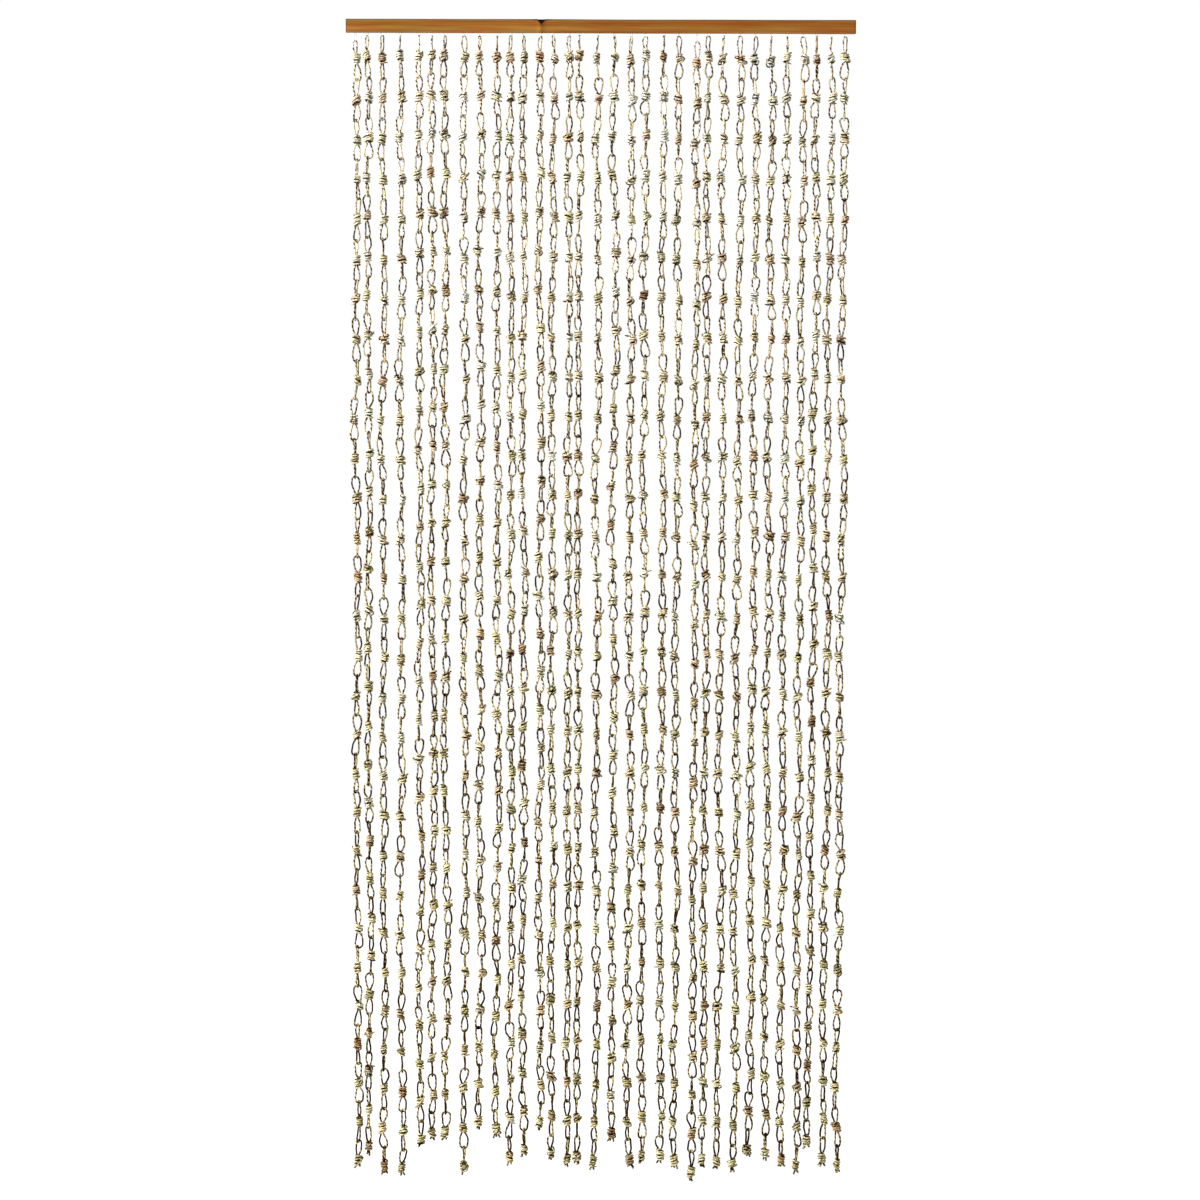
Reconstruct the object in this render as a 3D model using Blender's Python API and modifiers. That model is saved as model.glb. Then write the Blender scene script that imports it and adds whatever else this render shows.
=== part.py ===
# Door curtain: a row of knotted paper-cord chains hung from a bamboo batten.
# Metres, +Z up. The origin is the middle of the batten's top face, and the front is -Y.
import random
from collections import namedtuple

import bmesh
import bpy

MM = 0.001

# Batten: a split bamboo slat with one node
BATTEN_LENGTH = 900 * MM
BATTEN_HEIGHT = 24 * MM
BATTEN_DEPTH = 10 * MM
BATTEN_EDGE = 1.2 * MM
EDGE_STEPS = 2
NODE_ACROSS = -105 * MM
NODE_WIDTH = 16 * MM
NODE_CREST = 5 * MM
NODE_RISE = 0.6 * MM
NOTCH_WIDTH = 18 * MM
NOTCH_DROP = 6 * MM
NOTCH_INWARD = 4 * MM
NOTCH_TIP = 0.4 * MM
NOTCH_SIDES = 12

# Chain unit: a wrapped knot between two cord loops
KNOTS = 29
KNOT_WIDTH = 14.2 * MM
KNOT_DEPTH = 12.3 * MM
KNOT_HEIGHT = 20 * MM
LOOP_WIDTH = 7.0 * MM
LOOP_THICKNESS = 3.8 * MM
END_WIDTH = 7.0 * MM
END_THICKNESS = 5.0 * MM
END_DROP = 5 * MM
SEAT_GAP = 0.3 * MM
NEIGHBOUR_GAP = 1.5 * MM

# How far a chain's knots stray from a plumb line and from even spacing
SEED = 33
SWAY_ACROSS = 2.4 * MM
SWAY_DEEP = 1.5 * MM
SWAY_DROP = 1.0 * MM

# One row for each chain, from left to right. across is from the batten's middle, first is from
# the batten's underside to the first knot, and spacing is from knot to knot, all in millimetres.
Chain = namedtuple("Chain", "across first spacing")
CHAINS = (
    Chain(-433.0, 47, 70.4),
    Chain(-412.5, 43, 69.7),
    Chain(-386.0, 44, 70.9),
    Chain(-354.5, 41, 71.2),
    Chain(-321.0, 41, 69.3),
    Chain(-298.0, 38, 68.9),
    Chain(-275.0, 40, 68.8),
    Chain(-241.0, 41, 71.0),
    Chain(-213.5, 41, 68.1),
    Chain(-183.0, 43, 68.5),
    Chain(-158.5, 42, 70.4),
    Chain(-136.5, 43, 69.8),
    Chain(-106.0, 41, 68.1),
    Chain(-84.5, 44, 70.0),
    Chain(-55.5, 41, 70.5),
    Chain(-38.0, 39, 70.4),
    Chain(-5.0, 43, 70.6),
    Chain(24.5, 42, 68.8),
    Chain(54.0, 46, 70.4),
    Chain(79.0, 39, 70.3),
    Chain(111.5, 40, 70.3),
    Chain(137.5, 44, 70.5),
    Chain(170.0, 51, 71.0),
    Chain(189.5, 41, 70.5),
    Chain(217.5, 42, 70.6),
    Chain(246.0, 45, 70.7),
    Chain(274.0, 44, 69.8),
    Chain(301.5, 48, 69.8),
    Chain(329.5, 42, 70.5),
    Chain(357.5, 46, 70.7),
    Chain(381.5, 45, 69.1),
    Chain(407.5, 44, 70.3),
    Chain(431.5, 42, 70.8),
)

# Finishes: colour in linear light, and roughness
BAMBOO = ((0.355, 0.130, 0.028), 0.55)
PAPER_CORD = ((0.375, 0.315, 0.190), 0.9)


def clear_scene():
    for old in list(bpy.data.objects):
        bpy.data.objects.remove(old, do_unlink=True)


def new_collection(name):
    made = bpy.data.collections.new(name)
    bpy.context.scene.collection.children.link(made)
    return made


def new_material(name, finish):
    colour, roughness = finish
    material = bpy.data.materials.new(name)
    material.use_nodes = True
    shader = material.node_tree.nodes["Principled BSDF"]
    shader.inputs["Base Color"].default_value = (*colour, 1.0)
    shader.inputs["Roughness"].default_value = roughness
    shader.inputs["Metallic"].default_value = 0.0
    material.diffuse_color = (*colour, 1.0)
    return material


def new_object(name, bm, collection, material=None):
    mesh = bpy.data.meshes.new(name)
    bm.to_mesh(mesh)
    bm.free()
    made = bpy.data.objects.new(name, mesh)
    collection.objects.link(made)
    if material:
        mesh.materials.append(material)
    return made


# Batten
def slice_across(bm, across):
    everything = bm.verts[:] + bm.edges[:] + bm.faces[:]
    bmesh.ops.bisect_plane(bm, geom=everything, plane_co=(across, 0, 0), plane_no=(1, 0, 0))


def raise_node(bm):
    """Lift the band of the bamboo's node from the front face."""
    for half in (NODE_WIDTH / 2, NODE_CREST / 2):
        slice_across(bm, NODE_ACROSS - half)
        slice_across(bm, NODE_ACROSS + half)
    for vert in bm.verts:
        on_crest = abs(vert.co.x - NODE_ACROSS) < NODE_CREST
        if on_crest and vert.co.y < 0:
            vert.co.y -= NODE_RISE


def make_notch_cutter(cutters):
    """A squashed cone, point down, that hollows the top edge at the node."""
    bm = bmesh.new()
    height = NOTCH_DROP * 2
    bmesh.ops.create_cone(
        bm, cap_ends=True, segments=NOTCH_SIDES,
        radius1=NOTCH_TIP, radius2=NOTCH_WIDTH, depth=height,
    )
    bmesh.ops.scale(bm, vec=(1, 2 * NOTCH_INWARD / NOTCH_WIDTH, 1), verts=bm.verts)
    cutter = new_object("notch_cutter", bm, cutters)
    cutter.location = (NODE_ACROSS, -BATTEN_DEPTH / 2, height / 2 - NOTCH_DROP)
    cutter.hide_render = True
    cutter.display_type = "WIRE"
    return cutter


def make_batten(parts, cutters, material):
    bm = bmesh.new()
    bmesh.ops.create_cube(bm, size=1.0)
    size = (BATTEN_LENGTH, BATTEN_DEPTH, BATTEN_HEIGHT)
    bmesh.ops.scale(bm, vec=size, verts=bm.verts)
    bmesh.ops.translate(bm, vec=(0, 0, -BATTEN_HEIGHT / 2), verts=bm.verts)
    raise_node(bm)
    batten = new_object("batten", bm, parts, material)
    rounding = batten.modifiers.new("rounded_edges", "BEVEL")
    rounding.width = BATTEN_EDGE
    rounding.segments = EDGE_STEPS
    rounding.limit_method = "ANGLE"
    notch = batten.modifiers.new("notch", "BOOLEAN")
    notch.operation = "DIFFERENCE"
    notch.solver = "EXACT"
    notch.object = make_notch_cutter(cutters)
    return batten


# Chains
def room_beside(index):
    """How far a chain's knots may stray sideways before they would meet a neighbour's."""
    here = CHAINS[index].across
    others = [row.across for row in CHAINS[max(index - 1, 0):index + 2] if row.across != here]
    nearest = min(abs(other - here) for other in others) * MM
    return (nearest - KNOT_WIDTH - NEIGHBOUR_GAP) / 2


def ring(size, x, y, z):
    """A level triangle around a point, with one side to the front. size is its width and depth."""
    across, deep = size[0] / 2, size[1] / 2
    return [(x - across, y - deep, z), (x + across, y - deep, z), (x, y + deep, z)]


def chain_rings(index):
    """Rings down one chain: its root, then the top, middle and bottom of every knot."""
    row = CHAINS[index]
    dice = random.Random(SEED + index)
    sway = min(SWAY_ACROSS, max(room_beside(index), 0.0))
    loop = (LOOP_WIDTH, LOOP_THICKNESS)
    knot = (KNOT_WIDTH, KNOT_DEPTH)
    end = (END_WIDTH, END_THICKNESS)
    across = row.across * MM
    rings = [ring(loop, across, 0, -BATTEN_HEIGHT - SEAT_GAP)]
    for number in range(KNOTS):
        x = across + dice.uniform(-sway, sway)
        y = dice.uniform(-SWAY_DEEP, SWAY_DEEP)
        z = -BATTEN_HEIGHT - (row.first + number * row.spacing) * MM
        z += dice.uniform(-SWAY_DROP, SWAY_DROP)
        rings.append(ring(loop, x, y, z + KNOT_HEIGHT / 2))
        rings.append(ring(knot, x, y, z))
        if number < KNOTS - 1:
            rings.append(ring(loop, x, y, z - KNOT_HEIGHT / 2))
        else:
            rings.append(ring(end, x, y, z - KNOT_HEIGHT / 2 - END_DROP))
    return rings


def loft(name, rings, collection, material):
    """A closed body through three-cornered rings, from the first to the last."""
    bm = bmesh.new()
    levels = [[bm.verts.new(point) for point in points] for points in rings]
    corners = len(levels[0])
    for upper, lower in zip(levels, levels[1:]):
        for k in range(corners):
            after = (k + 1) % corners
            bm.faces.new((upper[k], upper[after], lower[after], lower[k]))
    bm.faces.new(levels[0])
    bm.faces.new(levels[-1])
    bmesh.ops.recalc_face_normals(bm, faces=bm.faces[:])
    return new_object(name, bm, collection, material)


def main():
    clear_scene()
    parts = new_collection("paper_curtain")
    cutters = new_collection("cutters")
    make_batten(parts, cutters, new_material("bamboo", BAMBOO))
    cord = new_material("paper_cord", PAPER_CORD)
    for index in range(len(CHAINS)):
        loft(f"strand_{index + 1:02d}", chain_rings(index), parts, cord)


main()
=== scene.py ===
import math
import random
from collections import namedtuple

import bpy
import numpy as np
from mathutils import Euler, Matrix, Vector


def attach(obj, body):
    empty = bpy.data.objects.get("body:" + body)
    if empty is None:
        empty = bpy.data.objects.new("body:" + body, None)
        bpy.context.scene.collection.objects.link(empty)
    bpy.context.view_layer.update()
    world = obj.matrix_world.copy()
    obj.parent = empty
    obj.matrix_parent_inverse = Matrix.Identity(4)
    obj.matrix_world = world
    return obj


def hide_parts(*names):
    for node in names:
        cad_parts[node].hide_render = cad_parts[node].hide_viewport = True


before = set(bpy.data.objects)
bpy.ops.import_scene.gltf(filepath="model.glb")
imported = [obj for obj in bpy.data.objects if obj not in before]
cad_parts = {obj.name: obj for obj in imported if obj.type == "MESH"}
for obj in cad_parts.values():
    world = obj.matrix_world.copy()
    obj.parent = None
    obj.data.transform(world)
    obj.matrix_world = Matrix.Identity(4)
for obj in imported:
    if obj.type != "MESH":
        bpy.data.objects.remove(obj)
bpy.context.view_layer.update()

MM = 0.001
SEED = 29
STRANDS = 33
KNOTS = 29
UP = np.array((0.0, 0.0, 1.0))

# Cord. Thinning is the share of its radius that it loses at its thinnest
CORD_RADIUS = 1.75 * MM
CORD_THINNING = 0.14
THINNING_WAVES = (6, 14)
CORD_SIDES = 5
TOUCH_GAP = 0.05 * MM
NEIGHBOUR_GAP = 0.3 * MM
OUTER_ROOM = 20 * MM

# Loops: how the legs leave a knot, open out and close round the tip
LEG_APART = 1.65 * MM
LEG_TUCK = 0.8
LEG_INSIDE = 4.0 * MM
LOOP_INSIDE = 0.5 * MM
LOOP_CLEAR = 0.6 * MM
LOOP_HALF_WIDTHS = (4.8 * MM, 7.6 * MM)
NARROWEST_LOOP = 2.15 * CORD_RADIUS
LEAST_FACING = 0.2
WIDEST_AT = (0.52, 0.76)
LEG_FLARE = (0.7, 1.5)
TIP_ROUND = (2.1, 3.0)
LEG_KINK = 0.7 * MM
KINK_WAVES = (7.5, 3.1, 6.0)
LOOP_SKEW = 0.22
LOOP_BOW = 1.1 * MM
LOOP_WARP = 1.0 * MM

# Where a leg's points lie: shares of the way from the knot to its widest place, and from there to the tip
TO_WIDEST = (0.03, 0.16, 0.34, 0.54, 0.77, 1.0)
TO_TIP = (0.34, 0.62, 0.83, 0.95)

# How the links hang, with turns in degrees
HOOK_SHIFT = 2.5 * MM
HOOK_SWAY = 2.2 * MM
KNOT_SWAY = 1.5 * MM
SWAY_SHARES = (1, 0.7, 0.7)
SLOW_SWAY = 1.9 * MM
SLOW_PACE = (0.35, 0.95)
STEADY_KNOTS = 3
LINK_TILT = 0.1
KNOT_TURN_SPREAD = 34.0
LINK_TURN_SPREAD = 20.0

# Knots: cord wound round the legs. share is how often a style comes, half is half the winding's height,
# and lean is in degrees
Style = namedtuple("Style", "share turns half belly size lean crossed")
STYLES = (
    Style(0.40, 3.8, 8.2 * MM, 0.05, 1.00, 13.0, False),
    Style(0.18, 4.4, 9.4 * MM, 0.05, 0.94, 12.0, False),
    Style(0.18, 3.3, 7.2 * MM, 0.10, 1.10, 18.0, False),
    Style(0.24, 3.1, 7.6 * MM, 0.06, 0.96, 15.0, True),
)
WRAP_RADIUS = 1.72 * MM
WRAP_THINNING = 0.22
COIL_RADIUS = 6.45 * MM
COIL_OVAL = 0.10
COIL_STEP = 31.0
SIZE_SPREAD = 0.13
KNOT_LEAN = 0.15
KNOT_TAPER = 0.14
CORE_RADIUS = 4.5 * MM
CORE_LENGTH = 0.86

# How a winding strays as it goes round: the pace of the waves in its tilt, radius, height and lean
TURN_WAVES = (0.45, 1.3, 0.8, 0.3)
TILT_SWING = 0.5
RADIUS_SWING = 0.06
HEIGHT_SWING = 0.45 * MM
LEAN_SWING = 0.6
LEAN_SPREAD = 1.0

# Where a winding starts and ends inside the knot
START_TURN = 0.9
START_RADIUS = 2.2 * MM
START_DROP = 0.5 * MM
FINISH_TURN = 0.7
FINISH_RADIUS = 2.4 * MM
CROSSED_FINISH = 0.6

# The cord that crosses over a winding, for the styles that have it
CROSSING_STEPS = 8
CROSSING_RISE = 1.6 * WRAP_RADIUS
CROSSING_TURN = 4.06
CROSSING_START = 1.15
CROSSING_CLIMB = 1.9

# Cut tails at some knots, and the cut ends under the last one
TAIL_SHARE = 0.32
TAIL_LENGTHS = (2.5 * MM, 8.0 * MM)
TAIL_RADII = (1.25 * MM, 1.0 * MM, 0.8 * MM)
TAIL_OUT = (0.05, 0.35)
TAIL_UP = (-0.4, 0.25)
TAIL_BEND = 0.6
TAIL_SHADE = 0.5
END_COUNTS = (2, 3, 3, 4)
END_LENGTHS = (5.0 * MM, 8.0 * MM)
END_BELOW = 12 * MM
END_INSIDE = 2 * MM
END_APART = 2.5 * MM
END_SPLAY = 0.6
END_BEND = 0.15

# Under the batten
BATTEN_UNDER = -24.0 * MM
TOP_DROPS = {1: 12.0 * MM, 23: 12.5 * MM}
TOP_DROP_RANGE = (2.0 * MM, 3.6 * MM)

# The first loop's turn for each strand in degrees, 0 where it lies open to the front
FIRST_TURNS = (
    35, 50, 40, 90, 85, 90, 60, 20, 65, 90, 45, 60, 55, 60, 40, 90, 88,
    75, 65, 25, 80, 10, 35, 15, 85, 10, 40, 80, 85, 5, 80, 85, 20,
)

# Colours in linear light: how often a knot has one, and its colour
Dye = namedtuple("Dye", "share colour")
DYES = (
    Dye(0.34, (0.80, 0.69, 0.43)),
    Dye(0.22, (0.56, 0.50, 0.27)),
    Dye(0.20, (0.64, 0.49, 0.31)),
    Dye(0.10, (0.36, 0.225, 0.12)),
    Dye(0.14, (0.76, 0.67, 0.47)),
)
BRIGHTEST = 0.84
TINT_SPREAD = 0.24
SECOND_DYE = 0.65
DYE_WAVES = (3.0, 9.0)
PATCHES = 8
PATCH_TONES = (0.7, 1.6)
# How dark a knot's core is, as a share of its knot's colour: painted shade that shows between the turns
CORE_PAINTED_SHADES = (0.02, 0.22)
# Painted shade: links are darker the further down the curtain they hang
LOWER_PAINTED_SHADE = 0.25
LOOP_COLOUR = (0.60, 0.49, 0.28)
LOOP_BLEND = 0.3
PALE_KNOTS = (0.80, 1.05)
PALE_SWING = 0.50
PALE_WAVES = (0.6, 1.8)

# Pairs with the value for the first link and for the last
CORD_THICKNESS = (0.95, 1.09)
LOWER_BLUE = (1.10, 0.88)
LOOP_BLUE = (1.0, 0.75)
# Loops lower down are less pale, so more of their cord takes the dark groove colour: painted shade towards
# the bottom
PALE_LOOPS = (0.65, 0.12)

# Painted light and shade round a knot's cord: how bright each side is, from the outward one round. The
# outward side is painted lighter, and the two inner ones are painted nearly black, as shade between the
# turns
PAINTED_CREVICE_SHADE = (
    (1.35, 1.35, 1.35),
    (0.95, 0.92, 0.86),
    (0.10, 0.07, 0.04),
    (0.10, 0.07, 0.04),
    (0.95, 0.92, 0.86),
)

# A loop's kind: half its width, its cord's thickness and paleness, and how far and how often that swings
Kind = namedtuple("Kind", "half_widths thickness pale swing waves")
TOP_KIND = Kind((3.2 * MM, 4.8 * MM), 0.80, 0.85, 0.95, (3.5, 6.0))


def unit(vectors):
    return vectors / np.linalg.norm(vectors, axis=-1, keepdims=True)


def between(pair, part):
    """The value that lies a part of the way from a pair's first to its second."""
    return pair[0] + (pair[1] - pair[0]) * part


def either_way(most, dice):
    return dice.uniform(-most, most)


def any_angle(dice):
    return dice.uniform(0, 2 * math.pi)


def pick(rows, dice):
    """One row of a table, as often as its share says."""
    left = dice.random()
    for row in rows:
        left -= row.share
        if left <= 0:
            return row
    return rows[0]


def new_object(name, data):
    made = bpy.data.objects.new(name, data)
    bpy.context.scene.collection.objects.link(made)
    return made


def new_mesh(name, points, faces):
    mesh = bpy.data.meshes.new(name)
    mesh.from_pydata(points, [], faces)
    return mesh


# Where the CAD strands have their roots and knots
RING_GAP = 1 * MM


def rings_of(name):
    """The middles of a solid's rings, from the top down. Corners at nearly one height are a ring."""
    corners = [tuple(vertex.co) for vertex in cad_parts[name].data.vertices]
    corners.sort(key=lambda corner: -corner[2])
    rings = []
    for corner in corners:
        if not rings or rings[-1][0][2] - corner[2] > RING_GAP:
            rings.append([])
        rings[-1].append(corner)
    return [np.round((np.min(ring, axis=0) + np.max(ring, axis=0)) / 2, 5) for ring in rings]


def rooms():
    """How far each strand may reach to its left and right before it would meet a neighbour."""
    roots = [rings_of(f"strand_{number:02d}")[0][0] for number in range(1, STRANDS + 1)]
    found = []
    for i, here in enumerate(roots):
        left = (here - roots[i - 1]) / 2 if i else OUTER_ROOM
        right = (roots[i + 1] - here) / 2 if i + 1 < len(roots) else OUTER_ROOM
        found.append((left - NEIGHBOUR_GAP / 2, right - NEIGHBOUR_GAP / 2))
    return found


# Tubes of cord and wire. On the map each link or eye has a row, and a tube's flat ends follow its length
ROW_MARGIN = 0.07
CAP_BEFORE = 1.6
CAP_AFTER = 1.4
CAP_HEIGHT = 0.3


class Weave:
    """Tubes gathered into one mesh, with two maps. Each point has a colour, with painted shade in it at the
    knots, and how pale its cord is.
    """

    def __init__(self, rows, row_length):
        self.row_height = 1.0 / rows
        self.scale = 1.0 / row_length
        self.row = 0
        self.cursor = 0.0
        self.count = 0
        self.points = []
        self.tints = []
        self.faces = []
        self.smooth = []
        self.turns = []
        self.places = []

    def next_row(self):
        self.row += 1
        self.cursor = 0.0

    def tube(self, path, reference, radii, tints, sides=CORD_SIDES, painted_round_shade=None):
        """A closed tube along a path. Its sides are counted from the reference direction at each point."""
        count = len(path)
        radii = np.broadcast_to(radii, (count,))
        radius = float(radii.max())
        ahead = unit(np.gradient(path, axis=0))
        first = unit(reference - (reference * ahead).sum(1, keepdims=True) * ahead)
        second = np.cross(ahead, first)
        angles = np.arange(sides) * 2 * math.pi / sides
        around = (
            np.cos(angles)[None, :, None] * first[:, None, :]
            + np.sin(angles)[None, :, None] * second[:, None, :]
        )
        self.points.append((path[:, None, :] + around * radii[:, None, None]).reshape(-1, 3))
        shades = np.repeat(np.broadcast_to(tints, (count, 4))[:, None, :], sides, axis=1)
        # Painted light and shade round the cord: each side's colour is multiplied by how bright that side
        # is painted
        if painted_round_shade is not None:
            shades[:, :, :3] *= np.array(painted_round_shade)[None, :, :]
        shades[:, :, :3] = np.minimum(shades[:, :, :3], BRIGHTEST)
        self.tints.append(shades.reshape(-1, 4))

        steps = np.linalg.norm(np.diff(path, axis=0), axis=1)
        along = np.concatenate(([0.0], np.cumsum(steps)))
        margin = ROW_MARGIN * self.row_height
        low = 1.0 - (self.row + 1) * self.row_height + margin
        high = 1.0 - self.row * self.row_height - margin
        start = self.cursor + radius
        for i in range(count - 1):
            near, far = along[i], along[i + 1]
            u_near, u_far = (start + near) * self.scale, (start + far) * self.scale
            a = self.count + i * sides
            for k in range(sides):
                after = (k + 1) % sides
                here, there = k / sides, (k + 1) / sides
                v_here, v_there = between((low, high), here), between((low, high), there)
                self.faces.append((a + k, a + after, a + sides + after, a + sides + k))
                self.turns += ((near, here), (near, there), (far, there), (far, here))
                self.places += ((u_near, v_here), (u_near, v_there), (u_far, v_there), (u_far, v_here))
        self.smooth += [True] * ((count - 1) * sides)
        self.cursor = start + along[-1]
        for end in (0, 1):
            base = self.count + end * (count - 1) * sides
            order = range(sides) if end else range(sides - 1, -1, -1)
            self.cursor += CAP_BEFORE * radius
            for k in order:
                self.turns.append((along[-1] * end, k / sides))
                self.places.append((
                    (self.cursor + math.cos(angles[k]) * radius) * self.scale,
                    (low + high) / 2 + math.sin(angles[k]) * CAP_HEIGHT * (high - low),
                ))
            self.cursor += CAP_AFTER * radius
            self.faces.append(tuple(base + k for k in order))
        self.smooth += [False, False]
        self.count += count * sides

    def build(self, name, material):
        mesh = new_mesh(name, np.concatenate(self.points).tolist(), self.faces)
        for layer, values in (("OFBake", self.places), ("cord_turns", self.turns)):
            uv = mesh.uv_layers.new(name=layer)
            uv.data.foreach_set("uv", np.array(values, np.float32).ravel())
        tint = mesh.attributes.new("tint", "FLOAT_COLOR", "POINT")
        tint.data.foreach_set("color", np.concatenate(self.tints).astype(np.float32).ravel())
        mesh.polygons.foreach_set("use_smooth", self.smooth)
        mesh.materials.append(material)
        return new_object(name, mesh)


# Parts of one link of cord
def leg_across(out, length, wide, waist, flare, tip_round):
    """How far a loop's leg is from its axis, at a distance out from the knot."""
    if out <= 0:
        return LEG_APART * LEG_TUCK
    if out < waist:
        return LEG_APART + (wide - LEG_APART) * (1 - (1 - out / waist) ** 2) ** flare
    return wide * max(1 - ((out - waist) / (length - waist)) ** tip_round, 0.0) ** (1 / tip_round)


def loop_path(base, tip, turn, half_width, dice):
    """A cord loop from a knot's face at base, round tip and back, with its plane's normal at each point."""
    axis = tip - base
    length = float(np.linalg.norm(axis))
    axis = axis / length
    side = np.array((math.cos(turn), math.sin(turn), 0.0))
    side = unit(side - (side @ axis) * axis)
    normal = np.cross(axis, side)
    skew = either_way(LOOP_SKEW, dice)
    bow = either_way(LOOP_BOW, dice)
    warp = either_way(LOOP_WARP, dice)
    kinks = [any_angle(dice) for _ in KINK_WAVES]
    tip_round = dice.uniform(*TIP_ROUND)
    halves = []
    for way in (-1, 1):
        wide = half_width * (1 + way * skew)
        waist = dice.uniform(*WIDEST_AT) * length
        flare = dice.uniform(*LEG_FLARE)
        outs = [-LEG_INSIDE] + [part * waist for part in TO_WIDEST]
        outs += [waist + (length - waist) * part for part in TO_TIP]
        halves.append([(way * leg_across(out, length, wide, waist, flare, tip_round), out) for out in outs])
    left, right = halves
    path = []
    for across, out in left + [(0.0, length)] + right[::-1]:
        part = min(max(out / length, 0.0), 1.0)
        hump = math.sin(math.pi * part)
        way = 1 if across > 0 else -1
        ways = (way, 1, way)
        first, second, third = (
            math.sin(turned * pace * part + kink) for turned, pace, kink in zip(ways, KINK_WAVES, kinks)
        )
        aside = across + bow * hump + LEG_KINK * hump * first * second
        forward = warp * hump * way + LEG_KINK * hump * third
        path.append(base + axis * out + side * aside + normal * forward)
    return np.array(path), np.tile(normal, (len(path), 1))


def coil_path(centre, axis, style, turn, tail, dice):
    """The cord wound round a knot, and the way outward at each point. It ends in a tail, or tucked in."""
    start = any_angle(dice)
    way = dice.choice((-1, 1))
    lean_to = dice.choice((0.0, math.pi)) + either_way(LEAN_SPREAD, dice)
    lean = math.tan(math.radians(style.lean))
    taper = either_way(KNOT_TAPER, dice)
    drift = [any_angle(dice) for _ in TURN_WAVES]
    right = unit(np.cross((0.0, 1.0, 0.0), axis))
    back = np.cross(axis, right)
    coil = COIL_RADIUS * style.size * (1 + either_way(SIZE_SPREAD, dice))
    path = []
    outward = []

    def place(angle, radius, height):
        in_tilt, in_radius, in_height, in_lean = (
            math.sin(pace * angle + phase) for pace, phase in zip(TURN_WAVES, drift)
        )
        out = right * math.cos(angle) + back * math.sin(angle)
        tilt = lean * (1 + TILT_SWING * in_tilt)
        slant = tilt * radius * math.cos(angle - lean_to - LEAN_SWING * in_lean)
        oval = 1 + COIL_OVAL * math.cos(2 * (angle - turn))
        swell = oval * (1 + RADIUS_SWING * in_radius)
        rise = height + slant + HEIGHT_SWING * in_height
        path.append(centre + out * radius * swell + axis * rise)
        outward.append(out)

    place(start - way * START_TURN, START_RADIUS, style.half - START_DROP)
    steps = int(style.turns * 360 / COIL_STEP)
    for i in range(steps + 1):
        part = i / steps
        angle = start + way * part * style.turns * 2 * math.pi
        belly = 1.0 - style.belly * (2 * part - 1) ** 2 + taper * (part - 0.5)
        place(angle, coil * belly, style.half * (1 - 2 * part))
    if style.crossed:
        for i in range(1, CROSSING_STEPS + 1):
            part = i / CROSSING_STEPS
            angle += way * CROSSING_TURN / CROSSING_STEPS
            place(angle, coil + CROSSING_RISE, style.half * (CROSSING_CLIMB * part - CROSSING_START))
    if tail:
        out = outward[-1]
        pull = unit(path[-1] - path[-2])
        away = out * dice.uniform(*TAIL_OUT) + UP * dice.uniform(*TAIL_UP)
        for _ in TAIL_RADII:
            pull = unit(pull + away * TAIL_BEND)
            path.append(path[-1] + pull * tail / len(TAIL_RADII))
            outward.append(out)
    else:
        finish = style.half * (CROSSED_FINISH if style.crossed else -1)
        place(angle + way * FINISH_TURN, FINISH_RADIUS, finish)
    return np.array(path), np.array(outward)


def uneven(radius, thinning, count, dice):
    """A cord's radius at each point, at most radius and here and there thinner."""
    along = np.linspace(0, 1, count)
    wave = np.sin(along * dice.uniform(*THINNING_WAVES) + any_angle(dice))
    return radius * (1 - thinning * (0.5 + 0.5 * wave))


def keep_in(path, low, high, radius):
    """Holds a path's points between two planes across, so that neighbours stay apart."""
    path[:, 0] = np.clip(path[:, 0], low + radius, high - radius)
    return path


def link_tints(index, dice):
    """A link's colours: its knot's, the second one in its knot, and its loops'. Lower links are darker,
    with painted shade that grows towards the bottom.
    """
    down = index / (KNOTS - 1)
    dye = pick(DYES, dice)
    tone = 1 + either_way(TINT_SPREAD, dice)
    # Painted shade, darker towards the bottom
    tone *= 1 - LOWER_PAINTED_SHADE * index / KNOTS
    tone = tone * np.array((1.0, 1.0, between(LOWER_BLUE, down)))
    knot_tint = np.array(dye.colour) * tone
    other_tint = np.array(pick(DYES, dice).colour) * tone
    loop_tint = np.array(LOOP_COLOUR) * tone
    loop_tint[2] *= between(LOOP_BLUE, down)
    loop_tint += (knot_tint - loop_tint) * LOOP_BLEND
    loop_tint *= 1 + either_way(TINT_SPREAD, dice)
    return knot_tint, other_tint, loop_tint


# Chains
CHAIN_ROW_LENGTH = 0.46
Link = namedtuple("Link", "centre axis style knot_tint other_tint loop_tint kind")


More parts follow.
